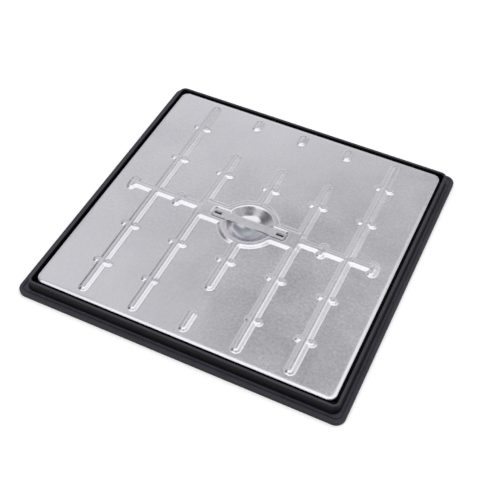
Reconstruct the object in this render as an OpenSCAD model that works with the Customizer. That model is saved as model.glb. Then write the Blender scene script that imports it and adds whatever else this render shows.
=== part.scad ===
// Square access cover: a pressed, galvanised steel lid that rests in a moulded plastic frame.
// The origin is the middle of the underside, +Z is up, and +Y runs to the edge with the marking band.
// All sizes are in millimetres.

/* [Lid] */
// Side of the square lid, outside its turned-down edge
lid_w = 478; // [460:1:500]
// Thickness of the steel sheet
sheet_t = 2; // [1.5:0.1:2.5]
// Radius of the gentle curve that leads into the bend along the lid's edges
lead_r = 18; // [14:1:22]
// Angle of that gentle curve, in degrees
lead_angle = 16; // [10:1:18]
// Outside radius of the bend itself
bend_r = 3; // [2.6:0.1:4]
// Plan radius of the lid's corners
lid_corner_r = 13; // [11:0.5:15]
// Depth of the turned-down edge, from the sheet's top face
skirt_h = 16; // [12:0.5:20]

/* [Pressed ribs] */
// Distance from one rib's middle to the next
rib_pitch = 82.5; // [78:0.5:84]
// Height of the ribs and of the raised centre above the sheet
rib_h = 3.2; // [2.4:0.1:4]
// Width of the flat middle of a rib's crest
crest_w = 1; // [0.6:0.1:2]
// Level run of a rib's flank
flank_w = 8.3; // [7.6:0.1:8.9]
// How far a flank is curved: 0 is one straight slope, 1 is two bends with no slope between them
flank_curve = 0.57; // [0.4:0.01:0.9]
// Share of those bends that lies at the crest; the rest lies at the foot
crest_share = 0.74; // [0.6:0.01:0.8]
// Distance from a rib's tip to the lid's edge
tip_margin = 11; // [9:0.5:14]
// Reach of a cross stud from the middle of its rib to its tip
stud_reach = 17; // [15:0.5:20]
// Reach of the two short studs that face the middle
short_reach = 11.8; // [11.2:0.1:13]
// Place of the bare band for a marking, from the lid's middle
band_y = 166.5; // [160:0.5:170]
// Clear length of that band between the rib tips
band_l = 63; // [54:1:70]
// Clear length between the middle rib's front tips
front_gap = 38; // [30:1:44]

/* [Lifting dish] */
// Radius of the dish where its rim starts to turn down
dish_r = 40; // [38:0.5:42]
// Outside radius of the bend at the dish's rim
dish_bend_r = 3.5; // [3:0.1:4.5]
// Slope of the dish's wall from the horizontal, in degrees
dish_slope = 38; // [34:1:44]
// Radius at which the wall meets the rounded bottom
dish_floor_r = 25; // [22:0.5:27]
// Radius of the rounded bottom's curve
dish_cap_r = 52; // [45:1:70]
// Width of the raised ring's flat crest, outside the dish's rim
ring_crest_w = 2.5; // [1.5:0.5:4.5]
// Width of the raised centre's flat crest, across the strap
plateau_w = 28; // [26:0.5:31]

/* [Lifting strap] */
// Length of the strap
strap_l = 122; // [112:1:126]
// Width of the strap
strap_w = 14; // [12:0.5:15]
// Thickness of the strap
strap_t = 3; // [2:0.1:3.2]
// Plan radius of the strap's corners
strap_corner_r = 3; // [2:0.5:5]
// Play between the strap and its recess, on each side and end at the floor
strap_play = 0.6; // [0.4:0.1:1.4]
// Level run of the recess's sloping walls
recess_run = 3.2; // [2:0.1:3.6]
// Distance from the strap's end to the middle of its slot
slot_inset = 8; // [7.5:0.5:10]
// Length of each slot in the strap
slot_l = 12.6; // [10:0.2:13]
// Width of each slot in the strap
slot_w = 4.8; // [4:0.1:6]
// Play between a slot and the steel tab that stands in it
tab_play = 0.3; // [0.2:0.05:0.6]
// Height of the tabs above the strap
tab_stand = 0.2; // [0.1:0.05:0.5]

/* [Seal] */
// Width of the seal strip under the lid's edge
seal_w = 8; // [7:0.5:9]
// Thickness of the seal strip
seal_t = 3; // [2:0.5:5]
// Play between the seal strip and the upstand
seal_play = 0.4; // [0.1:0.1:1]

/* [Frame] */
// Reach of the frame's seat in under the lid, which sets the clear opening
seat_lap = 14; // [12:0.5:18]
// Thickness of the seat
seat_t = 3.5; // [3:0.1:5]
// Thickness of the low wall along the clear opening
inner_wall_t = 2.4; // [2:0.1:3]
// Plan radius of the clear opening's corners
opening_corner_r = 4; // [2:0.5:8]
// Gap between the lid's edge and the frame's rim
rim_gap = 4; // [3:0.1:5.5]
// Plan radius of the rim's inner corners
rim_corner_r = 6.5; // [5:0.5:10]
// Width of the rim's top
rim_w = 4; // [3:0.1:6]
// Height of the rim above the lid's flat face
rim_rise = 0.7; // [0:0.1:1.5]
// Radius that rounds the rim's two edges
rim_round = 0.9; // [0.5:0.1:1.2]
// Widening of the upstand's outer face, from the rim down to the flange
outer_draft = 2.4; // [1:0.1:4]
// Widening of the space inside the upstand, from the seat up to the rim
inner_draft = 0.9; // [0.2:0.1:1.5]
// Thickness of the upstand's root, beside the hollow underside
root_t = 3; // [2.5:0.1:4]
// Width of the flange outside the upstand
flange_w = 10.6; // [10:0.1:20]
// Height of the flange
flange_h = 6.8; // [6:0.1:9]
// Plan radius of the flange's corners
flange_corner_r = 15; // [12:0.5:18]
// Width of the flange's outer lip
lip_w = 5.4; // [4.8:0.1:5.6]
// Width of the groove inside the lip
groove_w = 1.6; // [1:0.1:1.8]
// Depth of that groove
groove_d = 1.3; // [0.8:0.1:1.6]

/* [Frame underside] */
// Thickness of the flange above its hollow underside
flange_skin_t = 3; // [2.6:0.1:3.4]
// Thickness of the flange's outer wall
outer_wall_t = 2.4; // [2:0.1:3]
// Thickness of the cross ribs in the hollow underside
web_t = 2.4; // [1.6:0.1:4]
// Distance from one cross rib to the next
web_pitch = 68; // [64:1:69]
// Radius of the round mark over each cross rib
mark_r = 1.2; // [0.8:0.1:1.3]
// Depth of the round marks
mark_d = 0.5; // [0.2:0.1:0.8]

/* [Hidden] */
$fn = 64;

steel = [0.72, 0.72, 0.74];
plastic = [0.16, 0.16, 0.17];
foam = [0.08, 0.08, 0.08];

// Overlap that lets two joined forms share some material
lap = 0.5;

// Levels, and half sizes of the lid
seat_z = seat_t;
seal_top = seat_z + seal_t;
top_z = seal_top + skirt_h;
lid_half = lid_w / 2;
lid_core = lid_half - lid_corner_r;

// Ribs: radii of a rib's rounded tip at its foot and at its crest
crest_r = crest_w / 2;
foot_r = crest_r + flank_w;
tip_y = lid_half - tip_margin;
band_front = band_y - band_l / 2;
band_back = band_y + band_l / 2;

// A flank turns down in one bend, runs straight at its steepest and levels out in another bend
flank_angle = (1 + flank_curve) * atan(rib_h / flank_w);
bends_r = (flank_w * sin(flank_angle) - rib_h * cos(flank_angle)) / (1 - cos(flank_angle));
crest_bend_r = crest_share * bends_r;
foot_bend_r = bends_r - crest_bend_r;

// Dish: points where its curves meet, seen from the sheet's top face
ring_r = dish_r + ring_crest_w;
rim_turn_x = dish_r - dish_bend_r * sin(dish_slope);
rim_turn_z = rib_h - dish_bend_r * (1 - cos(dish_slope));
floor_z = rim_turn_z - (rim_turn_x - dish_floor_r) * tan(dish_slope);
cap_angle = asin(dish_floor_r / dish_cap_r);
cap_z = floor_z + dish_cap_r * cos(cap_angle);

// Recess for the strap, with walls of one slope, whose underside is narrower by the inset
recess_angle = atan(rib_h / recess_run);
recess_inset = sheet_t * tan(recess_angle / 2);
slot_x = strap_l / 2 - slot_inset;
tab_w = slot_l - 2 * tab_play;

// Edge of the lid: level place of the two arcs, measured from the middle of a plan corner
edge_x = lid_corner_r - bend_r;
lead_x = edge_x + (bend_r - lead_r) * sin(lead_angle);
edge_z = (lead_r - bend_r) * cos(lead_angle) - lead_r;

// Frame: half sizes from the clear opening out to the lip
opening_half = lid_half - seat_lap;
rim_in = lid_half + rim_gap;
rim_out = rim_in + rim_w;
rim_z = top_z + rim_rise;
rim_core = rim_in - rim_corner_r;
seat_out = rim_in - inner_draft;
foot_out = rim_out + outer_draft;
flange_half = foot_out + flange_w;
groove_out = flange_half - lip_w;
groove_in = groove_out - groove_w;
upstand_mid = (seat_out + foot_out) / 2;
hollow_in = seat_out + root_t;
hollow_out = flange_half - outer_wall_t;
hollow_h = flange_h - flange_skin_t;
mark_y = (foot_out + groove_in) / 2;
seal_out = seat_out - seal_play;
seal_in = seal_out - seal_w;

// Points along an arc, from one angle to another
function arc(x, y, r, from, to, steps) =
    [for (i = [0 : steps]) let (a = from + (to - from) * i / steps) [x + r * cos(a), y + r * sin(a)]];

// A square with true round corners, drawn from its half side
module rounded_square(half, r) {
    core = half - r;
    square([2 * half, 2 * core], center = true);
    square([2 * core, 2 * half], center = true);
    for (x = [-core, core], y = [-core, core])
        translate([x, y])
            circle(r = r);
}

module rounded_slab(half, r, z, h) {
    translate([0, 0, z])
        linear_extrude(height = h)
            rounded_square(half, r);
}

// Runs a section round a rectangle, turning about the four points at the given half sides.
// The section's x is the distance out from those points.
module run_round(half_x, half_y) {
    for (turn = [0 : 90 : 270]) {
        out = turn % 180 == 0 ? half_x : half_y;
        along = turn % 180 == 0 ? half_y : half_x;
        rotate([0, 0, turn])
            translate([out, along, 0]) {
                rotate([90, 0, 0])
                    linear_extrude(height = 2 * along)
                        children();
                rotate_extrude(angle = 90)
                    children();
            }
    }
}

function reverse(points) = [for (i = [len(points) - 1 : -1 : 0]) points[i]];

// Outline of a flank, from the edge of a crest down to the flat sheet.
// The offset moves it down through the sheet, so that the sheet keeps its thickness.
function flank(crest, offset) = concat(
    arc(crest, rib_h - crest_bend_r, crest_bend_r - offset, 90, 90 - flank_angle, 2),
    arc(crest + flank_w, foot_bend_r, foot_bend_r + offset, 270 - flank_angle, 270, 1)
);

// Outline of a rib or bar from one foot to the other
function rib_outline(crest, offset) =
    let (right = flank(crest, offset))
    concat(right, [for (p = reverse(right)) [-p[0], p[1]]]);

// Half of that outline, to turn about a tip's middle
function tip_outline(crest, offset) =
    concat([[0, rib_h - offset]], flank(crest, offset), [[0, -offset]]);

// A straight rib along Y between the middles of its two rounded tips
module rib(from, to, offset) {
    translate([0, to, 0])
        rotate([90, 0, 0])
            linear_extrude(height = to - from)
                polygon(rib_outline(crest_r, offset));
    half_tip = tip_outline(crest_r, offset);
    translate([0, to, 0])
        rotate_extrude(angle = 180)
            polygon(half_tip);
    translate([0, from, 0])
        rotate([0, 0, 180])
            rotate_extrude(angle = 180)
                polygon(half_tip);
}

// A rib measured to its tips at the foot
module rib_to_tips(from, to, offset) {
    rib(from + foot_r, to - foot_r, offset);
}

// A stud that crosses a rib, given its reach to the left and to the right
module stud(y, left, right, offset) {
    translate([0, y, 0])
        rotate([0, 0, -90])
            rib_to_tips(-left, right, offset);
}

// Every raised form of the lid. The offset moves them down, for the hollow underneath.
module relief(offset) {
    far = 2 * rib_pitch;
    for (side = [-1, 1]) {
        translate([side * far, 0, 0]) {
            rib_to_tips(-tip_y, tip_y, offset);
            for (y = [-far, -rib_pitch, rib_pitch, far])
                stud(y, stud_reach, stud_reach, offset);
        }
        translate([side * rib_pitch, 0, 0]) {
            rib_to_tips(-tip_y, band_front, offset);
            rib_to_tips(band_back, tip_y, offset);
            for (y = [-rib_pitch, rib_pitch])
                stud(y, stud_reach, stud_reach, offset);
            stud(-far,
                side > 0 ? short_reach : stud_reach,
                side > 0 ? stud_reach : short_reach,
                offset);
        }
        translate([side * 1.5 * rib_pitch, 0, 0])
            rib_to_tips(-stud_reach, stud_reach, offset);
        translate([side * 2.5 * rib_pitch, 0, 0])
            rib_to_tips(-stud_reach, stud_reach, offset);
    }
    rib_to_tips(0, band_front, offset);
    rib_to_tips(band_back, tip_y, offset);
    rib_to_tips(-far + front_gap / 2, 0, offset);
    rib_to_tips(-tip_y, -far - front_gap / 2, offset);
    for (y = [-rib_pitch, rib_pitch])
        stud(y, stud_reach, stud_reach, offset);
    rotate([0, 0, 90])
        rib(-2.5 * rib_pitch, 2.5 * rib_pitch, offset);
    plateau(offset);
}

// The raised centre: a bar between the two inner ribs and a ring round the dish
module plateau(offset) {
    translate([rib_pitch, 0, 0])
        rotate([90, 0, -90])
            linear_extrude(height = 2 * rib_pitch)
                polygon(rib_outline(plateau_w / 2, offset));
    rotate_extrude($fn = 96)
        polygon(tip_outline(ring_r, offset));
}

// The recess for the strap, as a tub with sloping walls. Its floor is at the sheet's top face.
module recess(grow, from_z, to_z) {
    core_x = strap_l / 2 - strap_corner_r;
    core_y = strap_w / 2 - strap_corner_r;
    slope = recess_run / rib_h;
    low = strap_corner_r + strap_play + grow + from_z * slope;
    high = strap_corner_r + strap_play + grow + to_z * slope;
    translate([-core_x, -core_y, from_z])
        cube([2 * core_x, 2 * core_y, to_z - from_z]);
    run_round(core_x, core_y)
        polygon([[0, from_z], [low, from_z], [high, to_z], [0, to_z]]);
}

// Outline of the dish from its lowest point up to the rim. The offset moves it through the sheet.
function dish_outline(offset) = concat(
    arc(0, cap_z, dish_cap_r + offset, -90, -90 + cap_angle, 6),
    arc(dish_r, rib_h - dish_bend_r, dish_bend_r - offset, 90 + dish_slope, 90, 4)
);

module dish_space() {
    rotate_extrude($fn = 96)
        polygon(concat(dish_outline(0), [[dish_r, rib_h + lap], [0, rib_h + lap]]));
}

module dish_shell() {
    rotate_extrude($fn = 96)
        polygon(concat(
            dish_outline(sheet_t),
            [[dish_r, rib_h - sheet_t + lap], [0, rib_h - sheet_t + lap]]
        ));
}

// Outline of the lid's edge, from the flat sheet to the upright skirt
function edge_outline(offset) = concat(
    arc(lead_x, -lead_r, lead_r - offset, 90, 90 - lead_angle / 2, 1),
    arc(edge_x, edge_z, bend_r - offset, 90 - lead_angle, 0, 4)
);

// Flat sheet with its edges turned down, before any rib is pressed
module tray() {
    translate([0, 0, -sheet_t / 2])
        cube([2 * lid_core, 2 * lid_core, sheet_t], center = true);
    run_round(lid_core, lid_core)
        polygon(concat(
            [[0, 0]],
            edge_outline(0),
            [[lid_corner_r, -skirt_h], [lid_corner_r - sheet_t, -skirt_h]],
            reverse(edge_outline(sheet_t)),
            [[0, -sheet_t]]
        ));
}

// Steel tabs that are cut from the recess's floor and stand up through the strap's slots
module tabs() {
    for (x = [-slot_x, slot_x])
        translate([x - tab_w / 2, -slot_w / 2 + tab_play, -lap])
            cube([tab_w, sheet_t, lap + strap_t + tab_stand]);
}

// Holes that the tabs leave in the floor behind them
module tab_holes() {
    hole_w = slot_w - 2 * tab_play - sheet_t;
    for (x = [-slot_x, slot_x])
        translate([x - tab_w / 2, slot_w / 2 - tab_play - hole_w, -sheet_t - lap])
            cube([tab_w, hole_w, sheet_t + 2 * lap]);
}

module lid() {
    color(steel)
        translate([0, 0, top_z])
            union() {
                difference() {
                    union() {
                        difference() {
                            union() {
                                tray();
                                relief(0);
                            }
                            relief(sheet_t);
                        }
                        recess(recess_inset, -sheet_t, rib_h - sheet_t + lap);
                        dish_shell();
                    }
                    recess(0, 0, rib_h + lap);
                    dish_space();
                    tab_holes();
                }
                tabs();
            }
}

// Flat bar across the dish, with a slot near each end
module lift_strap() {
    core_x = strap_l / 2 - strap_corner_r;
    core_y = strap_w / 2 - strap_corner_r;
    color(steel)
        translate([0, 0, top_z])
            linear_extrude(height = strap_t)
                difference() {
                    union() {
                        square([strap_l, 2 * core_y], center = true);
                        square([2 * core_x, strap_w], center = true);
                        for (x = [-core_x, core_x], y = [-core_y, core_y])
                            translate([x, y])
                                circle(r = strap_corner_r);
                    }
                    for (x = [-slot_x, slot_x])
                        translate([x, 0])
                            square([slot_l, slot_w], center = true);
                }
}

// Closed ring of foam strip that the lid's edge presses on
module seal_strip() {
    color(foam)
        run_round(lid_core, lid_core)
            translate([seal_in - lid_core, seat_z])
                square([seal_w, seal_t]);
}

// Upstand of the frame: a leaning wall with a rounded rim
module upstand() {
    foot_in = seat_out - rim_core;
    foot_x = foot_out - rim_core;
    top_in = rim_in - rim_core;
    top_out = rim_out - rim_core;
    run_round(rim_core, rim_core)
        polygon(concat(
            [[foot_in, seat_z - lap], [foot_x, seat_z - lap], [foot_x, flange_h]],
            arc(top_out - rim_round, rim_z - rim_round, rim_round, 0, 90, 3),
            arc(top_in + rim_round, rim_z - rim_round, rim_round, 90, 180, 3),
            [[foot_in, seat_z]]
        ));
}

// Flat base of the frame, with the clear opening and the groove inside its outer lip
module base() {
    difference() {
        rounded_slab(flange_half, flange_corner_r, 0, flange_h);
        rounded_slab(upstand_mid, upstand_mid - rim_core, seat_z, flange_h);
        rounded_slab(opening_half, opening_corner_r, -lap, flange_h);
        translate([0, 0, flange_h - groove_d])
            linear_extrude(height = groove_d + lap)
                difference() {
                    rounded_square(groove_out, flange_corner_r - lip_w);
                    rounded_square(groove_in, flange_corner_r - lip_w - groove_w);
                }
    }
}

// Low wall along the clear opening, which keeps the seal in place
module inner_wall() {
    outer_r = opening_corner_r + inner_wall_t;
    difference() {
        rounded_slab(opening_half + inner_wall_t, outer_r, seat_z - lap, seal_t + lap);
        rounded_slab(opening_half, opening_corner_r, 0, top_z);
    }
}

// Hollow under the flange, divided by cross ribs
module underside_hollow() {
    translate([0, 0, -lap])
        linear_extrude(height = hollow_h + lap)
            difference() {
                rounded_square(hollow_out, flange_corner_r - outer_wall_t);
                rounded_square(hollow_in, hollow_in - rim_core);
                for (turn = [0, 90], i = [-3.5 : 3.5])
                    rotate(turn)
                        translate([i * web_pitch, 0])
                            square([web_t, 2 * flange_half], center = true);
            }
}

// Small round marks on the flange, one over each cross rib
module marks() {
    for (turn = [0 : 90 : 270], i = [-3.5 : 3.5])
        rotate([0, 0, turn])
            translate([i * web_pitch, mark_y, flange_h - mark_d])
                cylinder(h = mark_d + lap, r = mark_r, $fn = 24);
}

module frame() {
    color(plastic)
        difference() {
            union() {
                base();
                upstand();
                inner_wall();
            }
            underside_hollow();
            marks();
        }
}

frame();
seal_strip();
lid();
lift_strap();
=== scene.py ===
"""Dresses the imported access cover: a pressed, galvanised lid with its strap, in a moulded frame.

Shapes are worked out in millimetres, as in part.scad, and become metres when a mesh is made.
"""

import math

import bmesh
import bpy
import numpy as np
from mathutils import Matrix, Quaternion, Vector


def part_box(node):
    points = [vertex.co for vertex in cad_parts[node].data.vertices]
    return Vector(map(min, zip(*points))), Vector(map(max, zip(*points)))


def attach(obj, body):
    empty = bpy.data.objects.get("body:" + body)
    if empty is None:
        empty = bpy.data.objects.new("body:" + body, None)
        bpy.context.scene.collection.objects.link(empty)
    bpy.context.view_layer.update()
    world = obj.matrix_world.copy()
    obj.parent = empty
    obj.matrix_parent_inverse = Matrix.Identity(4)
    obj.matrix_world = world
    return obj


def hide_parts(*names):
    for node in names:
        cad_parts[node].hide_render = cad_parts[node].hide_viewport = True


MM = 0.001

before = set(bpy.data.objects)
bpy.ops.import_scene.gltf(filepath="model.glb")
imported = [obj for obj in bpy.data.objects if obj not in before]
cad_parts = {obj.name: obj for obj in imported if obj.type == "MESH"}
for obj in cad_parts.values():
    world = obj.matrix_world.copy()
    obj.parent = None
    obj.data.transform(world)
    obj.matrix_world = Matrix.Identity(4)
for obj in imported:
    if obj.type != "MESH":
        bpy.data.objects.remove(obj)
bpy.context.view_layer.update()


def box_mm(node):
    """Lowest and highest corner of a CAD node, in millimetres."""
    return tuple(np.array(corner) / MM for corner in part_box(node))


LID_LO, LID_HI = box_mm("lid")
STRAP_LO, STRAP_HI = box_mm("lift_strap")
SEAL_LO, SEAL_HI = box_mm("seal_strip")
FRAME_HI = box_mm("frame")[1]

# Lid, as in part.scad
RIB_H = 3.2
SHEET_T = 2.0
LEAD_R = 18.0
LEAD_ANGLE = 16
BEND_R = 3.0
LID_CORNER_R = 13.0
LID_HALF = LID_HI[0]
LID_CORE = LID_HALF - LID_CORNER_R
SHEET_Z = LID_HI[2] - RIB_H
SKIRT_H = SHEET_Z - LID_LO[2]
CUT_ROUND = 0.35

# Pressed ribs and studs
RIB_PITCH = 82.5
CREST_R = 0.5
FLANK_W = 8.3
FOOT_R = CREST_R + FLANK_W
TIP_INSET = 11.0
TIP_Y = LID_HALF - TIP_INSET
STUD_REACH = 17.0
SHORT_REACH = 11.8
BAND_Y = 166.5
BAND_DEPTH = 63.0
BAND_FRONT = BAND_Y - BAND_DEPTH / 2
BAND_BACK = BAND_Y + BAND_DEPTH / 2
FRONT_GAP = 38.0
FLANK_CURVE = 0.57
CREST_SHARE = 0.74
NECK_BLEND = 3.0
# Height and width of a stud as a share of a rib's, which is 1 in part.scad
STUD_SHARE = 0.8
STUD_BLEND = 1.0

# Raised centre and lifting dish
PLATEAU_HALF = 14.0
DISH_R = 40.0
RING_W = 2.5
RING_R = DISH_R + RING_W
DISH_BEND_R = 3.5
DISH_SLOPE = math.radians(38)
DISH_FLOOR_R = 25.0
DISH_CAP_R = 52.0
DISH_BLEND = 1.2

# Recess for the strap, and the tabs that stand up through its slots
STRAP_CORNER_R = 3.0
STRAP_PLAY = 0.6
STRAP_EASE = 0.3
# The recess's wall runs out 0.8 mm further than in part.scad
RECESS_RUN = 4.0
RECESS_WALL = math.radians(43)
SLOT_INSET = 8.0
SLOT_X = STRAP_HI[0] - SLOT_INSET
SLOT_L = 12.6
SLOT_W = 4.8
SLOT_HALF = (SLOT_L / 2, SLOT_W / 2)
SLOT_CORNER_R = 0.8
TAB_PLAY = 0.3
TAB_HALF = SLOT_HALF[0] - TAB_PLAY
TAB_FRONT = -SLOT_HALF[1] + TAB_PLAY
TAB_BACK = TAB_FRONT + SHEET_T
TAB_HOLE_BACK = SLOT_HALF[1] - TAB_PLAY
TAB_TOP = LID_HI[2]
TAB_ROUND = 0.35

# Frame, as in part.scad
SEAT_Z = 3.5
OPENING_HALF = 225.0
OPENING_CORNER_R = 4.0
OPENING_CORE = OPENING_HALF - OPENING_CORNER_R
INNER_WALL_T = 2.4
INNER_WALL_H = 3.0
SEAT_OUT = 242.1
RIM_IN = 243.0
RIM_CORNER_R = 6.5
RIM_CORE = RIM_IN - RIM_CORNER_R
RIM_OUT = 247.0
RIM_Z = FRAME_HI[2]
RIM_ROUND = 0.9
FOOT_OUT = 249.4
FLANGE_HALF = FRAME_HI[0]
FLANGE_CORNER_R = 15.0
FLANGE_CORE = FLANGE_HALF - FLANGE_CORNER_R
FLANGE_H = 6.8
FLANGE_T = 3.0
GROOVE_INSET = 5.4
GROOVE_W = 1.6
GROOVE_OUT = FLANGE_HALF - GROOVE_INSET
GROOVE_IN = GROOVE_OUT - GROOVE_W
GROOVE_D = 1.3
HOLLOW_IN_WALL = 3.0
HOLLOW_OUT_WALL = 2.4
HOLLOW_IN = SEAT_OUT + HOLLOW_IN_WALL
HOLLOW_OUT = FLANGE_HALF - HOLLOW_OUT_WALL
HOLLOW_H = FLANGE_H - FLANGE_T
WEB_T = 2.4
WEB_PITCH = 68.0
WEBS_PER_SIDE = 8
WEB_SINK = 0.6
WEB_LIFT = 0.05
MARK_R = 1.2
MARK_D = 0.5
MARK_OUT = (FOOT_OUT + GROOVE_IN) / 2
EDGE_ROUND = 0.5
OPENING_ROUND = 0.4
LIP_ROUND = 0.4
FLANGE_ROUND = 0.7
GROOVE_ROUND = 0.25
HOLLOW_ROUND = 0.3

# Seal
SEAL_W = 8.0
SEAL_FOOT_ROUND = 0.3
SEAL_TOP_ROUND = 0.9

# Meshes: edges sharper than this stay sharp, and points closer than this are joined, in metres
SHARP_ANGLE = 40
STRAP_SHARP_ANGLE = 50
JOIN_WITHIN = 1e-6


# Meshes


def add_piece(name, points, faces, material, node):
    """A smooth mesh from points in millimetres, which stands for a CAD node."""
    mesh = bpy.data.meshes.new(name)
    mesh.from_pydata([tuple(p) for p in np.asarray(points) * MM], [], faces)
    mesh.validate()
    piece = bpy.data.objects.new(name, mesh)
    bpy.context.collection.objects.link(piece)
    finish_piece(piece, material, node)
    return piece


def finish_piece(piece, material, node, sharp_angle=SHARP_ANGLE):
    """Smooth shading and a material, and the calls that tie the piece to its CAD node."""
    mesh = piece.data
    mesh.materials.clear()
    mesh.materials.append(material)
    mesh.shade_smooth()
    mesh.set_sharp_from_angle(angle=math.radians(sharp_angle))
    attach(piece, "root")
    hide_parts(node)


def arc(x, z, r, start, end, steps):
    """Points along an arc in a section, with the angles in degrees."""
    angles = np.radians(np.linspace(start, end, steps + 1))
    return [(x + r * math.cos(a), z + r * math.sin(a)) for a in angles]


def round_corners(outline, steps=4):
    """Rounds the corners of a closed section of (x, z, radius, core) points.

    The core is where the middles of its corners lie in plan.
    """
    section = []
    for k, (x, z, radius, core) in enumerate(outline):
        corner = np.array((x, z))
        before = np.array(outline[k - 1][:2]) - corner
        after = np.array(outline[(k + 1) % len(outline)][:2]) - corner
        before /= np.linalg.norm(before)
        after /= np.linalg.norm(after)
        turn = math.acos(np.clip(before @ after, -1, 1))
        if radius == 0:
            section.append((x, z, core))
            continue
        reach = radius / math.tan(turn / 2)
        inward = (before + after) / np.linalg.norm(before + after)
        middle = corner + inward * radius / math.sin(turn / 2)
        first, last = corner + before * reach - middle, corner + after * reach - middle
        sweep = math.pi - turn
        for t in np.linspace(0, 1, steps + 1):
            spoke = (math.sin((1 - t) * sweep) * first + math.sin(t * sweep) * last) / math.sin(sweep)
            section.append((*(middle + spoke), core))
    return section


def ring(section, corner_steps=10, side_steps=6):
    """Runs a closed section round a square. Each point of it turns about its own corner middles."""
    points, faces = [], []
    for x, z, core in section:
        r = x - core
        for turn in range(4):
            c, s = round(math.cos(turn * math.pi / 2)), round(math.sin(turn * math.pi / 2))
            loop = [(core + r, t * core) for t in np.linspace(-1, 1, side_steps + 1)]
            for a in np.linspace(0, math.pi / 2, corner_steps + 1)[1:-1]:
                loop.append((core + r * math.cos(a), core + r * math.sin(a)))
            points += [(c * px - s * py, s * px + c * py, z) for px, py in loop]
    per_loop = len(points) // len(section)
    for k in range(len(section)):
        here, there = k * per_loop, (k + 1) % len(section) * per_loop
        for i in range(per_loop):
            j = (i + 1) % per_loop
            faces.append((here + i, here + j, there + j, there + i))
    return points, faces


# Lid mesh


def smooth_min(a, b, k):
    """The lesser of two values, blended over a width of k where they meet."""
    h = np.clip(0.5 + 0.5 * (b - a) / k, 0, 1)
    return b + (a - b) * h - k * h * (1 - h)


def press_profile(d):
    """Height at a distance d outside a crest: a convex bend, a short slope and a concave bend."""
    angle = (1 + FLANK_CURVE) * math.atan(RIB_H / FLANK_W)
    bends = (FLANK_W * math.sin(angle) - RIB_H * math.cos(angle)) / (1 - math.cos(angle))
    convex, concave = bends * CREST_SHARE, bends * (1 - CREST_SHARE)
    turn_out, turn_in = convex * math.sin(angle), FLANK_W - concave * math.sin(angle)
    upper = RIB_H - convex + np.sqrt(convex**2 - np.clip(d, 0, turn_out) ** 2)
    straight = (np.clip(d, turn_out, turn_in) - turn_out) * math.tan(angle)
    lower = concave - np.sqrt(concave**2 - np.clip(FLANK_W - d, 0, FLANK_W - turn_in) ** 2)
    return np.where(d < turn_in, upper - straight, lower)


def strokes():
    """Middle lines of the straight ribs, then of the studs across them.

    Each is (x0, y0, x1, y1), from the middle of one round tip to that of the other.
    """
    lines, studs = [], []

    def along(x, y0, y1):
        lines.append((x, y0 + FOOT_R, x, y1 - FOOT_R))

    def stud(y, x0, x1):
        tip = FOOT_R * STUD_SHARE
        studs.append((x0 + tip, y, x1 - tip, y))

    far = 2 * RIB_PITCH
    for side in (-1, 1):
        along(side * far, -TIP_Y, TIP_Y)
        for y in (-far, -RIB_PITCH, RIB_PITCH, far):
            stud(y, side * far - STUD_REACH, side * far + STUD_REACH)
        near = side * RIB_PITCH
        along(near, -TIP_Y, BAND_FRONT)
        along(near, BAND_BACK, TIP_Y)
        for y in (-RIB_PITCH, RIB_PITCH):
            stud(y, near - STUD_REACH, near + STUD_REACH)
        left, right = (SHORT_REACH, STUD_REACH) if side > 0 else (STUD_REACH, SHORT_REACH)
        stud(-far, near - left, near + right)
        for x in (1.5, 2.5):
            along(side * x * RIB_PITCH, -STUD_REACH, STUD_REACH)
    along(0, 0, BAND_FRONT)
    along(0, BAND_BACK, TIP_Y)
    along(0, -far + FRONT_GAP / 2, 0)
    along(0, -TIP_Y, -far - FRONT_GAP / 2)
    for y in (-RIB_PITCH, RIB_PITCH):
        stud(y, -STUD_REACH, STUD_REACH)
    lines.append((-2.5 * RIB_PITCH, 0, 2.5 * RIB_PITCH, 0))
    return lines, studs


RIBS, STUDS = strokes()
FAR_AWAY = 1e3
LEAST_BLEND = 1e-6


def beside(x, y, lines):
    """Distance outside the crests of the given ribs, with soft necks where they meet."""
    d = np.full(x.shape, FAR_AWAY)
    for x0, y0, x1, y1 in lines:
        out = np.hypot(x - np.clip(x, x0, x1), y - np.clip(y, y0, y1)) - CREST_R
        d = smooth_min(d, out, NECK_BLEND)
    return d


def relief(x, y):
    """Height of the ribs and the raised centre above the flat sheet."""
    out_x, out_y = np.abs(x) - RIB_PITCH, np.abs(y) - PLATEAU_HALF + CREST_R
    bar = np.hypot(np.maximum(out_x, 0), np.maximum(out_y, 0)) - CREST_R
    d = smooth_min(beside(x, y, RIBS), bar, NECK_BLEND)
    d = smooth_min(d, np.hypot(x, y) - RING_R, NECK_BLEND)
    ribs = press_profile(np.clip(d, 0, FLANK_W))
    studs = STUD_SHARE * press_profile(np.clip(beside(x, y, STUDS) / STUD_SHARE, 0, FLANK_W))
    blend = np.clip(np.minimum(ribs, studs), LEAST_BLEND, STUD_BLEND)
    return -smooth_min(-ribs, -studs, blend)


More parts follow.
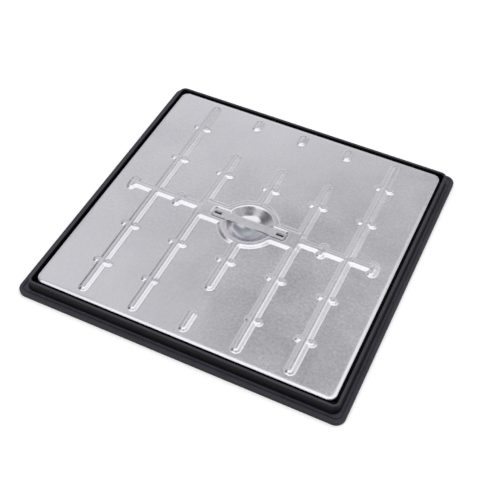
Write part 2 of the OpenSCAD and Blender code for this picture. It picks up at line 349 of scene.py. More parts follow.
def dish(x, y):
    """Height of the dish's surface, which runs on upwards outside its rim."""
    r = np.hypot(x, y)
    turn_r = DISH_R - DISH_BEND_R * math.sin(DISH_SLOPE)
    turn_z = RIB_H - DISH_BEND_R * (1 - math.cos(DISH_SLOPE))
    floor_z = turn_z - (turn_r - DISH_FLOOR_R) * math.tan(DISH_SLOPE)
    cap_z = floor_z + math.sqrt(DISH_CAP_R**2 - DISH_FLOOR_R**2)
    cap = cap_z - np.sqrt(DISH_CAP_R**2 - np.minimum(r, DISH_FLOOR_R) ** 2)
    wall = floor_z + (np.clip(r, DISH_FLOOR_R, turn_r) - DISH_FLOOR_R) * math.tan(DISH_SLOPE)
    rim = RIB_H - DISH_BEND_R + np.sqrt(DISH_BEND_R**2 - np.clip(DISH_R - r, 0, DISH_R - turn_r) ** 2)
    inner = np.where(r < DISH_FLOOR_R, cap, wall)
    return np.where(r < turn_r, inner, rim) + np.maximum(r - DISH_R, 0)


def recess(x, y):
    """Height of the strap's recess: a level floor with sloping walls, which run on upwards."""
    core_x, core_y = STRAP_HI[0] - STRAP_CORNER_R, STRAP_HI[1] - STRAP_CORNER_R
    d = np.hypot(np.maximum(np.abs(x) - core_x, 0), np.maximum(np.abs(y) - core_y, 0))
    d = d - STRAP_CORNER_R - STRAP_PLAY
    slope = math.tan(RECESS_WALL)
    bend = (RECESS_RUN - RIB_H / slope) / (2 * math.tan(RECESS_WALL / 2))
    reach = bend * math.sin(RECESS_WALL)
    rise = bend * (1 - math.cos(RECESS_WALL))
    foot = bend - np.sqrt(bend**2 - np.clip(d, 0, reach) ** 2)
    wall = rise + (np.clip(d, reach, RECESS_RUN - reach) - reach) * slope
    top = RIB_H - bend + np.sqrt(bend**2 - np.clip(RECESS_RUN - d, 0, reach) ** 2)
    inner = np.where(d < reach, foot, wall)
    return np.where(d < RECESS_RUN - reach, inner, top) + np.maximum(d - RECESS_RUN, 0)


def sheet_height(x, y):
    """Height of the pressed sheet's top face above its flat parts."""
    return np.minimum(relief(x, y), smooth_min(dish(x, y), recess(x, y), DISH_BLEND))


# The ball that finds the underside: shares of its radius, and the directions tried at each
BALL_SHARES = (0.35, 0.65, 0.85, 0.97)
BALL_SPOKES = 12


def sheet_underside(x, y):
    """Height of the underside: how low a ball reaches whose middle stays on the top face.

    Its radius is the sheet's thickness, so the sheet is equally thick where it bends.
    """
    low = sheet_height(x, y) - SHEET_T
    for share in BALL_SHARES:
        drop = SHEET_T * math.sqrt(1 - share**2)
        for a in np.linspace(0, 2 * math.pi, BALL_SPOKES, endpoint=False):
            dx, dy = share * SHEET_T * math.cos(a), share * SHEET_T * math.sin(a)
            low = np.minimum(low, sheet_height(x + dx, y + dy) - drop)
    return low


# Cells of the lid's mesh: side of the finest, its multiple in the coarsest, how many fine cells
# lie side by side, and how far a cell may leave its corners' surface before it is split
FINE_CELL = 1.25
COARSE = 8
GRID = 368
FLAT_TOLERANCE = 0.035


def grid_lines(snap_to):
    """Places of the finest grid lines, some moved onto the edges of the tabs and their holes."""
    even = (np.arange(GRID + 1) - GRID / 2) * FINE_CELL
    edge = GRID / 2 * FINE_CELL
    tip = TIP_Y - FOOT_R
    lines = np.interp(even, (-edge, -tip, tip, edge), (-LID_CORE, -tip, tip, LID_CORE))
    for place in snap_to:
        lines[np.abs(lines - place).argmin()] = place
    return lines


def leaf_cells(height, keep_fine):
    """Splits the sheet into square cells, small where it bends and large where it is flat.

    Returns (i, j, size) in grid steps. Neighbours differ by at most a factor of two.
    """
    sizes = np.zeros((GRID, GRID), int)

    def is_flat(i, j, size):
        if keep_fine[i : i + size, j : j + size].any():
            return False
        patch = height[i : i + size + 1, j : j + size + 1]
        t = np.linspace(0, 1, size + 1)
        ends = np.outer(1 - t, patch[0]) + np.outer(t, patch[-1])
        even = np.outer(ends[:, 0], 1 - t) + np.outer(ends[:, -1], t)
        return np.abs(patch - even).max() < FLAT_TOLERANCE

    def split(i, j, size):
        if size > 1 and not is_flat(i, j, size):
            half = size // 2
            for di in (0, half):
                for dj in (0, half):
                    split(i + di, j + dj, half)
        else:
            sizes[i : i + size, j : j + size] = size

    for i in range(0, GRID, COARSE):
        for j in range(0, GRID, COARSE):
            split(i, j, COARSE)

    changed = True
    while changed:
        changed = False
        for i, j, size in list_cells(sizes):
            if size < 4:
                continue
            around = sizes[max(i - 1, 0) : i + size + 1, max(j - 1, 0) : j + size + 1]
            if around.min() < size // 2:
                sizes[i : i + size, j : j + size] = size // 2
                changed = True
    return list_cells(sizes)


def list_cells(sizes):
    """The square cells that a table of their sizes describes, as (i, j, size)."""
    cells = []
    for size in (1, 2, 4, 8):
        corners = np.argwhere(sizes[::size, ::size] == size) * size
        cells += [(i, j, size) for i, j in corners.tolist()]
    return cells


# Steps over the flat start, the gentle lead and the bend of the lid's edge
FLAT_STEPS = 5
LEAD_STEPS = 6
BEND_STEPS = 7


def edge_section():
    """From the flat sheet over the bend and down the turned-down edge, then back up inside it.

    The second list tells which points lie on the sheet's underside.
    """
    outer, inner = LID_CORNER_R, LID_CORNER_R - SHEET_T
    lead = math.radians(LEAD_ANGLE)
    edge_x = LID_CORNER_R - BEND_R
    lead_x = edge_x + (BEND_R - LEAD_R) * math.sin(lead)
    edge_z = (LEAD_R - BEND_R) * math.cos(lead) - LEAD_R

    def outline(offset):
        flat = [(lead_x * k / FLAT_STEPS, -offset) for k in range(1, FLAT_STEPS)]
        gentle = arc(lead_x, -LEAD_R, LEAD_R - offset, 90, 90 - LEAD_ANGLE, LEAD_STEPS)
        bend = arc(edge_x, edge_z, BEND_R - offset, 90 - LEAD_ANGLE, 0, BEND_STEPS)
        return flat + gentle[:-1] + bend

    over, under = outline(0), outline(SHEET_T)[::-1]
    cut = [
        (outer, -SKIRT_H + CUT_ROUND),
        (outer - CUT_ROUND, -SKIRT_H),
        (inner + CUT_ROUND, -SKIRT_H),
        (inner, -SKIRT_H + CUT_ROUND),
    ]
    return over + cut + under, [False] * len(over + cut) + [True] * len(under)


def make_lid(material):
    """The pressed sheet, top and underside, with its tabs, their holes and its turned-down edge."""
    xs = grid_lines([s * (SLOT_X + t * TAB_HALF) for s in (-1, 1) for t in (-1, 1)])
    ys = grid_lines([TAB_FRONT, TAB_BACK, TAB_HOLE_BACK])
    gx, gy = np.meshgrid(xs, ys, indexing="ij")
    height = sheet_height(gx, gy)

    mid_x, mid_y = (xs[:-1] + xs[1:]) / 2, (ys[:-1] + ys[1:]) / 2
    near_slot = np.abs(np.abs(mid_x) - SLOT_X) < TAB_HALF
    in_tab = np.outer(near_slot, (mid_y > TAB_FRONT) & (mid_y < TAB_BACK))
    in_hole = np.outer(near_slot, (mid_y > TAB_BACK) & (mid_y < TAB_HOLE_BACK))
    cells = leaf_cells(height, in_tab | in_hole)

    top = {}
    for i, j, size in cells:
        for key in ((i, j), (i + size, j), (i + size, j + size), (i, j + size)):
            top.setdefault(key, len(top))
    keys = np.array(list(top))
    px, py = xs[keys[:, 0]], ys[keys[:, 1]]
    upper = np.column_stack((px, py, SHEET_Z + height[keys[:, 0], keys[:, 1]]))
    lower = np.column_stack((px, py, SHEET_Z + sheet_underside(px, py)))
    points = upper.tolist() + lower.tolist()
    under = len(top)
    faces = []

    def outline(i, j, size):
        """Corners of a cell, with the middles of its sides where smaller neighbours need them."""
        half = size // 2
        walk = [(i, j), (i + half, j), (i + size, j), (i + size, j + half)]
        walk += [(i + size, j + size), (i + half, j + size), (i, j + size), (i, j + half)]
        return [top[key] for k, key in enumerate(walk) if k % 2 == 0 or (size > 1 and key in top)]

    for i, j, size in cells:
        if in_hole[i, j]:
            continue
        loop = outline(i, j, size)
        faces.append(tuple(under + v for v in reversed(loop)))
        if not in_tab[i, j]:
            faces.append(tuple(loop))

    add_hole_walls(faces, top, in_hole, under)
    add_tabs(points, faces, top, xs, ys, in_tab)
    add_edges(points, faces, top, xs, ys, under)
    return add_piece("pressed_lid", points, faces, material, "lid")


def add_hole_walls(faces, top, in_hole, under):
    """Joins the top and the underside round each hole behind a tab."""
    for i, j in np.argwhere(in_hole).tolist():
        sides = (
            ((i - 1, j), (i, j), (i, j + 1)),
            ((i + 1, j), (i + 1, j + 1), (i + 1, j)),
            ((i, j - 1), (i + 1, j), (i, j)),
            ((i, j + 1), (i, j + 1), (i + 1, j + 1)),
        )
        for neighbour, a, b in sides:
            if not in_hole[neighbour]:
                a, b = top[a], top[b]
                faces.append((a, b, under + b, under + a))


def add_tabs(points, faces, top, xs, ys, in_tab):
    """Raises the cells in front of each hole into a tab with eased top edges."""
    js = np.flatnonzero(in_tab.any(axis=0))
    j0, j1 = js[0], js[-1] + 1
    for side in (-1, 1):
        inside = np.flatnonzero(in_tab.any(axis=1) & (side * (xs[:-1] + xs[1:]) > 0))
        i0, i1 = inside[0], inside[-1] + 1
        walk = [(i, j0) for i in range(i0, i1)] + [(i1, j) for j in range(j0, j1)]
        walk += [(i, j1) for i in range(i1, i0, -1)] + [(i0, j) for j in range(j1, j0, -1)]
        rings = [[top[key] for key in walk]]
        for z, inset in ((TAB_TOP - TAB_ROUND, 0), (TAB_TOP, TAB_ROUND)):
            rings.append(range(len(points), len(points) + len(walk)))
            for i, j in walk:
                x = np.clip(xs[i], xs[i0] + inset, xs[i1] - inset)
                y = np.clip(ys[j], ys[j0] + inset, ys[j1] - inset)
                points.append((x, y, z))
        for low, high in zip(rings, rings[1:]):
            for k in range(len(walk)):
                n = (k + 1) % len(walk)
                faces.append((low[k], low[n], high[n], high[k]))
        faces.append(tuple(rings[-1]))


def add_edges(points, faces, top, xs, ys, under, corner_steps=12):
    """Turns the sheet's edges down all round, from the grid's outer points."""
    n = GRID
    sides = (
        ([(n, j) for j in range(n + 1)], 0),
        ([(i, n) for i in range(n, -1, -1)], 90),
        ([(0, j) for j in range(n, -1, -1)], 180),
        ([(i, 0) for i in range(n + 1)], 270),
    )
    stations = []
    for keys, turn in sides:
        present = [key for key in keys if key in top]
        stations += [(key, turn) for key in present]
        steps = np.linspace(turn, turn + 90, corner_steps + 1)[1:-1]
        stations += [(present[-1], a) for a in steps]
    section, is_under = edge_section()
    first = len(points)
    out, z = np.array(section).T
    places = np.array([(xs[i], ys[j]) for (i, j), a in stations])
    turns = np.radians([a for key, a in stations])
    px = places[:, :1] + np.outer(np.cos(turns), out)
    py = places[:, 1:] + np.outer(np.sin(turns), out)
    raised = np.where(is_under, sheet_underside(px, py) + SHEET_T, sheet_height(px, py))
    points += np.stack((px, py, SHEET_Z + z + raised), axis=-1).reshape(-1, 3).tolist()
    size = len(section)
    for k in range(len(stations)):
        m = (k + 1) % len(stations)
        a, b = first + k * size, first + m * size
        top_a, top_b = top[stations[k][0]], top[stations[m][0]]
        for t in range(size - 1):
            faces.append((a + t, a + t + 1, b + t + 1, b + t))
        if top_a == top_b:
            faces.append((top_a, a, b))
            faces.append((under + top_a, b + size - 1, a + size - 1))
        else:
            faces.append((top_a, a, b, top_b))
            faces.append((under + top_a, under + top_b, b + size - 1, a + size - 1))


# Strap, frame and seal


def rounded_rectangle(half_x, half_y, r, steps=6):
    """Outline of a rectangle with round corners, anticlockwise."""
    corners = ((1, 1, 0), (-1, 1, 90), (-1, -1, 180), (1, -1, 270))
    loop = []
    for sx, sy, start in corners:
        for x, y in arc(sx * (half_x - r), sy * (half_y - r), r, start, start + 90, steps):
            loop.append((x, y))
    return loop


def evaluated_mesh(source):
    """A mesh of what an object comes to with its modifiers, or of a curve."""
    depsgraph = bpy.context.evaluated_depsgraph_get()
    return bpy.data.meshes.new_from_object(source.evaluated_get(depsgraph))


def make_strap(material):
    """A flat bar with a slot near each end and slightly eased edges."""
    curve = bpy.data.curves.new("lifting_strap_outline", "CURVE")
    curve.dimensions = "2D"
    curve.fill_mode = "BOTH"
    curve.extrude = ((STRAP_HI[2] - STRAP_LO[2]) / 2 - STRAP_EASE) * MM
    curve.bevel_depth = STRAP_EASE * MM
    curve.bevel_resolution = 2
    curve.offset = -STRAP_EASE * MM
    loops = [(0, rounded_rectangle(STRAP_HI[0], STRAP_HI[1], STRAP_CORNER_R))]
    for side in (-1, 1):
        loops.append((side * SLOT_X, rounded_rectangle(*SLOT_HALF, SLOT_CORNER_R)))
    for shift, loop in loops:
        spline = curve.splines.new("POLY")
        spline.points.add(len(loop) - 1)
        for point, (x, y) in zip(spline.points, loop):
            point.co = ((x + shift) * MM, y * MM, 0, 1)
        spline.use_cyclic_u = True
    carrier = bpy.data.objects.new("outline", curve)
    bpy.context.collection.objects.link(carrier)
    mesh = evaluated_mesh(carrier)
    bpy.data.objects.remove(carrier)
    middle = (STRAP_LO[2] + STRAP_HI[2]) / 2 * MM
    for v in mesh.vertices:
        v.co.z += middle
    cleaned = bmesh.new()
    cleaned.from_mesh(mesh)
    bmesh.ops.remove_doubles(cleaned, verts=cleaned.verts, dist=JOIN_WITHIN)
    cleaned.to_mesh(mesh)
    cleaned.free()
    piece = bpy.data.objects.new("lifting_strap", mesh)
    bpy.context.collection.objects.link(piece)
    finish_piece(piece, material, "lift_strap", STRAP_SHARP_ANGLE)
    return piece


def frame_section():
    """Closed section of the frame: inner wall, seat, rim, flange and the hollow underneath."""
    a, b, c = OPENING_CORE, RIM_CORE, FLANGE_CORE
    wall_top = SEAT_Z + INNER_WALL_H
    return [
        (OPENING_HALF, 0, OPENING_ROUND, a),
        (OPENING_HALF, wall_top, EDGE_ROUND, a),
        (OPENING_HALF + INNER_WALL_T, wall_top, EDGE_ROUND, a),
        (OPENING_HALF + INNER_WALL_T, SEAT_Z, EDGE_ROUND, a),
        (SEAT_OUT, SEAT_Z, EDGE_ROUND, b),
        (RIM_IN, RIM_Z, RIM_ROUND, b),
        (RIM_OUT, RIM_Z, RIM_ROUND, b),
        (FOOT_OUT, FLANGE_H, FLANGE_ROUND, b),
        (GROOVE_IN, FLANGE_H, GROOVE_ROUND, c),
        (GROOVE_IN, FLANGE_H - GROOVE_D, GROOVE_ROUND, c),
        (GROOVE_OUT, FLANGE_H - GROOVE_D, GROOVE_ROUND, c),
        (GROOVE_OUT, FLANGE_H, LIP_ROUND, c),
        (FLANGE_HALF, FLANGE_H, FLANGE_ROUND, c),
        (FLANGE_HALF, 0, EDGE_ROUND, c),
        (HOLLOW_OUT, 0, HOLLOW_ROUND, c),
        (HOLLOW_OUT, HOLLOW_H, EDGE_ROUND, c),
        (HOLLOW_IN, HOLLOW_H, EDGE_ROUND, b),
        (HOLLOW_IN, 0, HOLLOW_ROUND, b),
    ]


def built_object(name, build):
    """An object whose mesh is filled in by the given function."""
    shape = bmesh.new()
    build(shape)
    mesh = bpy.data.meshes.new(name)
    shape.to_mesh(mesh)
    shape.free()
    built = bpy.data.objects.new(name, mesh)
    bpy.context.collection.objects.link(built)
    return built


def around_flange():
    """Places of the cross ribs and their marks: (turn about Z, distance along the side)."""
    for turn in range(4):
        for i in range(WEBS_PER_SIDE):
            yield math.radians(90 * turn), (i - (WEBS_PER_SIDE - 1) / 2) * WEB_PITCH


def build_webs(shape):
    """Cross ribs in the hollow under the flange, sunk a little into its walls."""
    length = HOLLOW_OUT - HOLLOW_IN + 2 * WEB_SINK
    for turn, along in around_flange():
        made = bmesh.ops.create_cube(shape, size=1)["verts"]
        for v in made:
            x = (HOLLOW_IN + HOLLOW_OUT) / 2 + v.co.x * length
            y = along + v.co.y * WEB_T
            z = WEB_LIFT + (v.co.z + 0.5) * (HOLLOW_H + WEB_SINK)
            c, s = math.cos(turn), math.sin(turn)
            v.co = Vector((c * x - s * y, s * x + c * y, z)) * MM


def build_marks(shape):
    """Cones that cut small round hollows in the flange's top, each MARK_R in radius at its surface."""
    for turn, along in around_flange():
        made = bmesh.ops.create_cone(
            shape,
            cap_ends=True,
            segments=20,
            radius1=MARK_R * 0.75,
            radius2=MARK_R * 1.5,
            depth=3 * MARK_D,
        )["verts"]
        c, s = math.cos(turn), math.sin(turn)
        place = Vector((c * MARK_OUT - s * along, s * MARK_OUT + c * along, FLANGE_H + MARK_D / 2))
        for v in made:
            v.co = (v.co + place) * MM


def apply_boolean(piece, tool, operation):
    """Joins a tool to a piece or cuts it out, and removes the tool."""
    modifier = piece.modifiers.new(tool.name, "BOOLEAN")
    modifier.operation = operation
    modifier.solver = "EXACT"
    modifier.object = tool
    result = evaluated_mesh(piece)
    piece.modifiers.remove(modifier)
    piece.data = result
    bpy.data.objects.remove(tool)


def make_frame(material):
    """The frame's section run round a square, with its cross ribs and round marks."""
    points, faces = ring(round_corners(frame_section()), corner_steps=14)
    piece = add_piece("moulded_frame", points, faces, material, "frame")
    apply_boolean(piece, built_object("webs", build_webs), "UNION")
    apply_boolean(piece, built_object("marks", build_marks), "DIFFERENCE")
    piece.data.shade_smooth()
    piece.data.set_sharp_from_angle(angle=math.radians(SHARP_ANGLE))
    piece.modifiers.new("flat_faces_stay_flat", "WEIGHTED_NORMAL").keep_sharp = True
    return piece


def make_seal(material):
    """A flat ring of foam with a softly rounded top."""
    inner, outer = SEAL_HI[0] - SEAL_W, SEAL_HI[0]
    section = [
        (inner, SEAL_LO[2], SEAL_FOOT_ROUND, LID_CORE),
        (outer, SEAL_LO[2], SEAL_FOOT_ROUND, LID_CORE),
        (outer, SEAL_HI[2], SEAL_TOP_ROUND, LID_CORE),
        (inner, SEAL_HI[2], SEAL_TOP_ROUND, LID_CORE),
    ]
    points, faces = ring(round_corners(section[::-1]), side_steps=40)
    return add_piece("sealing_strip", points, faces, material, "seal_strip")


# Materials


class Nodes:
    """Short calls for building one material's node tree."""

    def __init__(self, name):
        self.material = bpy.data.materials.new(name)
        self.material.use_nodes = True
        self.tree = self.material.node_tree
        self.shader = self.tree.nodes["Principled BSDF"]
        self.place = self.add("ShaderNodeTexCoord").outputs["Object"]

    def add(self, kind, **values):
        """A new node of this kind, with the given settings."""
        node = self.tree.nodes.new(kind)
        for key, value in values.items():
            setattr(node, key, value)
        return node

    def link(self, source, target):
        """Feeds one socket from another."""
        self.tree.links.new(source, target)

    def stretched(self, scale, turn=0.0):
        """Object coordinates in millimetres, scaled along each axis."""
        node = self.add("ShaderNodeMapping")
        self.link(self.place, node.inputs["Vector"])
        node.inputs["Scale"].default_value = [s / MM for s in scale]
        node.inputs["Rotation"].default_value = (0, 0, turn)
        return node.outputs["Vector"]

    def noise(self, size, detail=2.0, roughness=0.5, stretch=(1, 1, 1), turn=0.0, distortion=0.0):
        """Noise whose features are about size millimetres across."""
        node = self.add("ShaderNodeTexNoise")
        self.link(self.stretched([1 / (size * s) for s in stretch], turn), node.inputs["Vector"])
        node.inputs["Scale"].default_value = 1
        node.inputs["Detail"].default_value = detail
        node.inputs["Roughness"].default_value = roughness
        node.inputs["Distortion"].default_value = distortion
        return node.outputs["Fac"]

    def spread(self, value, low, high, to_low=0.0, to_high=1.0):
        """Carries the range from low to high over to another range, and stops at its ends."""
        node = self.add("ShaderNodeMapRange")
        self.link(value, node.inputs["Value"])
        ends = {"From Min": low, "From Max": high, "To Min": to_low, "To Max": to_high}
        for key, number in ends.items():
            node.inputs[key].default_value = number
        return node.outputs["Result"]

    def mix(self, factor, first, second):
        """The first colour where the factor is 0, and the second where it is 1."""
        node = self.add("ShaderNodeMix", data_type="RGBA")
        self.link(factor, node.inputs["Factor"])
        for socket, colour in ((node.inputs[6], first), (node.inputs[7], second)):
            if isinstance(colour, tuple):
                socket.default_value = (*colour, 1)
            else:
                self.link(colour, socket)
        return node.outputs[2]

    def math(self, operation, first, second=0):
        """One step of arithmetic on sockets or numbers."""
        node = self.add("ShaderNodeMath", operation=operation)
        for socket, value in zip(node.inputs, (first, second)):
            if isinstance(value, (int, float)):
                socket.default_value = value
            else:
                self.link(value, socket)
        return node.outputs["Value"]

    def bump(self, height, strength, depth, below=None):
        """Bump of a depth in millimetres, laid over another one."""
        node = self.add("ShaderNodeBump")
        node.inputs["Strength"].default_value = strength
        node.inputs["Distance"].default_value = depth * MM
        self.link(height, node.inputs["Height"])
        if below is not None:
            self.link(below, node.inputs["Normal"])
        return node.outputs["Normal"]


def srgb(r, g, b):
    """Scene colour of an 8-bit screen colour."""

    def level(v):
        v /= 255
        return v / 12.92 if v <= 0.04045 else ((v + 0.055) / 1.055) ** 2.4

    return level(r), level(g), level(b)


# Painted shade: darker tones on faces that look down, low down in the dish's floor and at the foot of
# the lid's edge, and a painted shadow in the strap's slots
UNDERSIDE_PAINTED_SHADE = (166, 169, 174)
LOW_PAINTED_SHADE = (186, 191, 198)
SLOT_PAINTED_SHADOW = (52, 50, 48)
# Heights in metres between which the painted shade low down gives way, and the size of the slots'
# painted shadow in millimetres
LOW_SHADE_FROM, LOW_SHADE_TO = 0.009, 0.015
SHADE_INSET = 0.1
SHADE_REACH = 1.5


def near(n, value, middle, reach):
    """1 where a coordinate lies within reach of a place, both in millimetres, and 0 elsewhere."""
    off = n.math("ABSOLUTE", n.math("SUBTRACT", value, middle * MM))
    return n.math("LESS_THAN", off, reach * MM)


def galvanised(name, light, dark, roughness, grain_turn=0.0):
    """Zinc skin on steel: cloudy tone, a fine mottle and faint rolling lines, slightly uneven.

    Painted shade darkens faces that look down, the dish's floor and the foot of the lid's edge, and a
    painted shadow darkens the front of each slot.
    """
    n = Nodes(name)
    n.shader.inputs["Metallic"].default_value = 1.0
    clouds = n.spread(n.noise(size=95, detail=3, roughness=0.55, distortion=0.6), 0.35, 0.65)
    mottle = n.spread(n.noise(size=4.5, detail=4, roughness=0.6), 0.3, 0.7)
    streaks = n.noise(size=2.6, detail=3, roughness=0.6, stretch=(1, 9, 1), turn=grain_turn)
    rolling = n.spread(streaks, 0.3, 0.7)
    tone = n.math("ADD", n.math("MULTIPLY", clouds, 0.4), n.math("MULTIPLY", mottle, 0.5))
    tone = n.math("ADD", tone, n.math("MULTIPLY", rolling, 0.1))
    facing = n.add("ShaderNodeSeparateXYZ")
    n.link(n.add("ShaderNodeNewGeometry").outputs["Normal"], facing.inputs[0])
    # painted shade: 0 on faces that look down, which get a darker tone
    not_under = n.spread(facing.outputs["Z"], -0.9, -0.3)
    where = n.add("ShaderNodeSeparateXYZ")
    n.link(n.place, where.inputs[0])
    # painted shade: a darker tone below these heights, in the dish's floor and at the foot of the
    # lid's edge
    above_low_shade = n.spread(where.outputs["Z"], LOW_SHADE_FROM, LOW_SHADE_TO)
    zinc_with_painted_shade = n.mix(above_low_shade, srgb(*LOW_PAINTED_SHADE), n.mix(tone, dark, light))
    zinc_with_painted_shade = n.mix(not_under, srgb(*UNDERSIDE_PAINTED_SHADE), zinc_with_painted_shade)
    # painted shadow: a dark strip at the front of each slot, over the tab
    along = near(n, n.math("ABSOLUTE", where.outputs["X"]), SLOT_X, SLOT_HALF[0] - SHADE_INSET)
    across = near(n, where.outputs["Y"], TAB_FRONT, SHADE_REACH)
    in_slot_shadow = n.math("MULTIPLY", along, across)
    n.link(n.mix(in_slot_shadow, zinc_with_painted_shade, srgb(*SLOT_PAINTED_SHADOW)), n.shader.inputs["Base Color"])
    gloss = n.math("ADD", n.math("MULTIPLY", clouds, 0.06), n.math("MULTIPLY", mottle, 0.08))
    n.link(n.math("ADD", gloss, roughness), n.shader.inputs["Roughness"])
    skin = n.bump(n.noise(size=5, detail=1.5, roughness=0.5), strength=0.15, depth=0.02)
    waves = n.bump(n.noise(size=110, detail=1, roughness=0.4), strength=1.0, depth=0.9, below=skin)
    n.link(waves, n.shader.inputs["Normal"])
    return n.material


BLACK_PLASTIC = (13, 11, 18)
# Paler tone on faces that look up: painted light on the tops, with patches of dust
DUST_AND_PAINTED_LIGHT_PLASTIC = (71, 70, 80)


def moulded_plastic(name):
    """Black polypropylene with a fine moulded grain, paler on faces that look up: painted light on the
    tops, with patches of dust.
    """
    n = Nodes(name)
    grain = n.noise(size=0.7, detail=3, roughness=0.6)
    patches = n.spread(n.noise(size=30, detail=3, roughness=0.6), 0.35, 0.7)
    facing = n.add("ShaderNodeSeparateXYZ")
    n.link(n.add("ShaderNodeNewGeometry").outputs["Normal"], facing.inputs[0])
    upward = n.spread(facing.outputs["Z"], 0.35, 0.95)
    # painted light on faces that look up, varied in patches like dust
    dust_and_painted_light = n.math("MULTIPLY", upward, n.spread(patches, 0, 1, 0.75, 1))
    n.link(n.mix(dust_and_painted_light, srgb(*BLACK_PLASTIC), srgb(*DUST_AND_PAINTED_LIGHT_PLASTIC)), n.shader.inputs["Base Color"])
    n.link(n.spread(patches, 0, 1, 0.38, 0.46), n.shader.inputs["Roughness"])
    n.shader.inputs["Specular IOR Level"].default_value = 0.2
    n.link(n.bump(grain, strength=0.35, depth=0.05), n.shader.inputs["Normal"])
    return n.material


PORE_SIZE = 0.6


def foam_rubber(name):
    """Closed-cell foam: dull black with small open pores."""
    n = Nodes(name)
    pores = n.add("ShaderNodeTexVoronoi")
    n.link(n.stretched([1 / PORE_SIZE] * 3), pores.inputs["Vector"])
    pores.inputs["Scale"].default_value = 1
    depth = n.spread(pores.outputs["Distance"], 0.1, 0.5)
    n.link(n.mix(depth, srgb(38, 38, 40), srgb(20, 20, 21)), n.shader.inputs["Base Color"])
    n.shader.inputs["Roughness"].default_value = 0.9
    n.link(n.bump(depth, strength=0.5, depth=0.15), n.shader.inputs["Normal"])
    return n.material


# Pieces

SHEET_STEEL = galvanised("galvanised_sheet", srgb(232, 231, 237), srgb(212, 210, 217), 0.16)
BAR_STEEL = galvanised("galvanised_bar", srgb(226, 225, 229), srgb(204, 203, 208), 0.26, math.pi / 2)
PLASTIC = moulded_plastic("frame_plastic")
FOAM = foam_rubber("seal_foam")

make_lid(SHEET_STEEL)
make_strap(BAR_STEEL)
make_frame(PLASTIC)
make_seal(FOAM)


# Studio

# Side of the floor in metres, its grey, and the glow that it adds where it is seen
FLOOR_SIZE = 12.0
FLOOR_GREY = 0.93
FLOOR_LIFT = 0.36


def build_floor(shape):
    """A level grid through the origin."""
    bmesh.ops.create_grid(shape, x_segments=8, y_segments=8, size=FLOOR_SIZE / 2)


def make_floor():
    """A plain pale floor. Its glow is seen directly and in reflections, and lights nothing."""
    floor = built_object("floor", build_floor)
    n = Nodes("studio_floor")
    n.shader.inputs["Base Color"].default_value = (FLOOR_GREY, FLOOR_GREY, FLOOR_GREY, 1)
    n.shader.inputs["Roughness"].default_value = 0.9
    n.shader.inputs["Specular IOR Level"].default_value = 0.1
    path = n.add("ShaderNodeLightPath").outputs
    mirrored = n.math("MAXIMUM", path["Is Glossy Ray"], path["Is Transmission Ray"])
    seen = n.math("MAXIMUM", path["Is Camera Ray"], mirrored)
    n.shader.inputs["Emission Color"].default_value = (1, 1, 1, 1)
    n.link(n.math("MULTIPLY", seen, FLOOR_LIFT), n.shader.inputs["Emission Strength"])
    floor.data.materials.append(n.material)


# Soft light round each direction (x right, y back, z up): the strength it adds is full up to the first
# angle from it and gone at the second, both in degrees. A negative strength dims.
STUDIO_LIGHT = (
    ((-0.15, -0.15, 0.98), 21, 26, 0.9),
    ((0.25, -0.08, 0.96), 15, 21, 0.9),
    ((-0.28, -0.20, 0.94), 18, 23, 0.9),
    ((0.30, 0.36, 0.87), 6, 24, 0.8),
    ((0.09, 0.60, 0.79), 3, 9, 0.42),
    ((0.80, 0.50, 0.33), 12, 36, 0.36),
    ((0.15, 0.98, 0.08), 8, 22, 0.4),
    ((-0.26, -0.88, 0.38), 18, 28, 0.9),
    ((-0.75, 0.60, 0.30), 33, 44, 0.2),
    ((-0.25, 0.80, 0.55), 8, 16, 0.2),
    ((-0.38, 0.45, 0.80), 6, 12, 0.18),
    ((-0.30, 0.58, 0.76), 4, 9, -0.13),
    ((-0.19, 0.55, 0.81), 5, 7.5, -0.08),
    ((-0.33, 0.51, 0.80), 2, 5.5, 0.1),
    ((-0.30, 0.70, 0.64), 3, 9, 0.06),
    ((-0.12, 0.66, 0.75), 1.5, 3.5, 0.08),
    ((0.25, -0.52, 0.81), 12, 27, -0.34),
    ((-0.25, -0.64, 0.73), 4, 9, -0.12),
    ((-0.84, -0.25, 0.48), 16, 34, -0.32),
    ((-0.88, 0.46, -0.03), 7, 15, -0.69),
)
# Strength from every direction, and the most that all of them come to anywhere
STUDIO_BASE = 0.49
STUDIO_MOST = 1.33


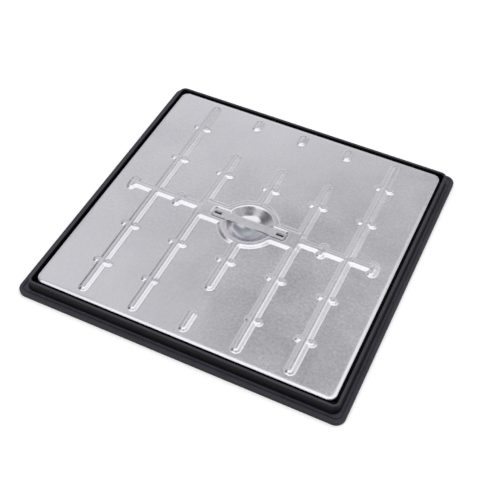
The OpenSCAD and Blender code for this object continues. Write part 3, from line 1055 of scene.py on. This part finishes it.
def make_world():
    """A pale studio: an even field with soft boxes and a few dim gaps.

    The camera sees plain white, and no direction lights the part more than STUDIO_MOST.
    """
    world = bpy.data.worlds.new("studio")
    bpy.context.scene.world = world
    world.use_nodes = True
    tree = world.node_tree
    link = tree.links.new
    direction = tree.nodes.new("ShaderNodeTexCoord").outputs["Generated"]
    total = None
    for axis, inner, outer, strength in STUDIO_LIGHT:
        facing = tree.nodes.new("ShaderNodeVectorMath")
        facing.operation = "DOT_PRODUCT"
        link(direction, facing.inputs[0])
        facing.inputs[1].default_value = Vector(axis).normalized()
        lobe = tree.nodes.new("ShaderNodeMapRange")
        lobe.interpolation_type = "SMOOTHSTEP"
        link(facing.outputs["Value"], lobe.inputs["Value"])
        lobe.inputs["From Min"].default_value = math.cos(math.radians(outer))
        lobe.inputs["From Max"].default_value = math.cos(math.radians(inner))
        lobe.inputs["To Max"].default_value = strength
        added = tree.nodes.new("ShaderNodeMath")
        link(lobe.outputs["Result"], added.inputs[0])
        added.inputs[1].default_value = STUDIO_BASE
        if total is not None:
            link(total, added.inputs[1])
        total = added.outputs["Value"]
    seen = tree.nodes.new("ShaderNodeMix")
    link(tree.nodes.new("ShaderNodeLightPath").outputs["Is Camera Ray"], seen.inputs["Factor"])
    capped = tree.nodes.new("ShaderNodeMath")
    capped.operation = "MINIMUM"
    link(total, capped.inputs[0])
    capped.inputs[1].default_value = STUDIO_MOST
    link(capped.outputs["Value"], seen.inputs[2])
    seen.inputs[3].default_value = 1
    link(seen.outputs[0], tree.nodes["Background"].inputs["Strength"])
    tree.nodes["Background"].inputs["Color"].default_value = (1, 1, 1, 1)


# The photograph's viewpoint, solved from the lid's four corners and refined on the edges of
# the lid and the flange
CAMERA_AZIMUTH = math.radians(23.449)
CAMERA_ELEVATION = math.radians(49.582)
CAMERA_ROLL = math.radians(2.208)
CAMERA_DISTANCE = 1.40256
CAMERA_TARGET = (0.02345, -0.04662, SHEET_Z * MM)
CAMERA_LENS = 66.211
SENSOR_WIDTH = 36


def make_camera():
    """Looks at the target from the photograph's viewpoint."""
    level = math.cos(CAMERA_ELEVATION)
    across, away = math.sin(CAMERA_AZIMUTH) * level, -math.cos(CAMERA_AZIMUTH) * level
    back = Vector((across, away, math.sin(CAMERA_ELEVATION)))
    data = bpy.data.cameras.new("camera")
    data.sensor_width = SENSOR_WIDTH
    data.lens = CAMERA_LENS
    camera = bpy.data.objects.new("camera", data)
    camera.location = Vector(CAMERA_TARGET) + back * CAMERA_DISTANCE
    camera.rotation_mode = "QUATERNION"
    level_view = (-back).to_track_quat("-Z", "Y")
    camera.rotation_quaternion = level_view @ Quaternion((0, 0, 1), CAMERA_ROLL)
    bpy.context.collection.objects.link(camera)
    bpy.context.scene.camera = camera


make_floor()
make_world()
make_camera()
bpy.context.scene.view_settings.view_transform = "Standard"
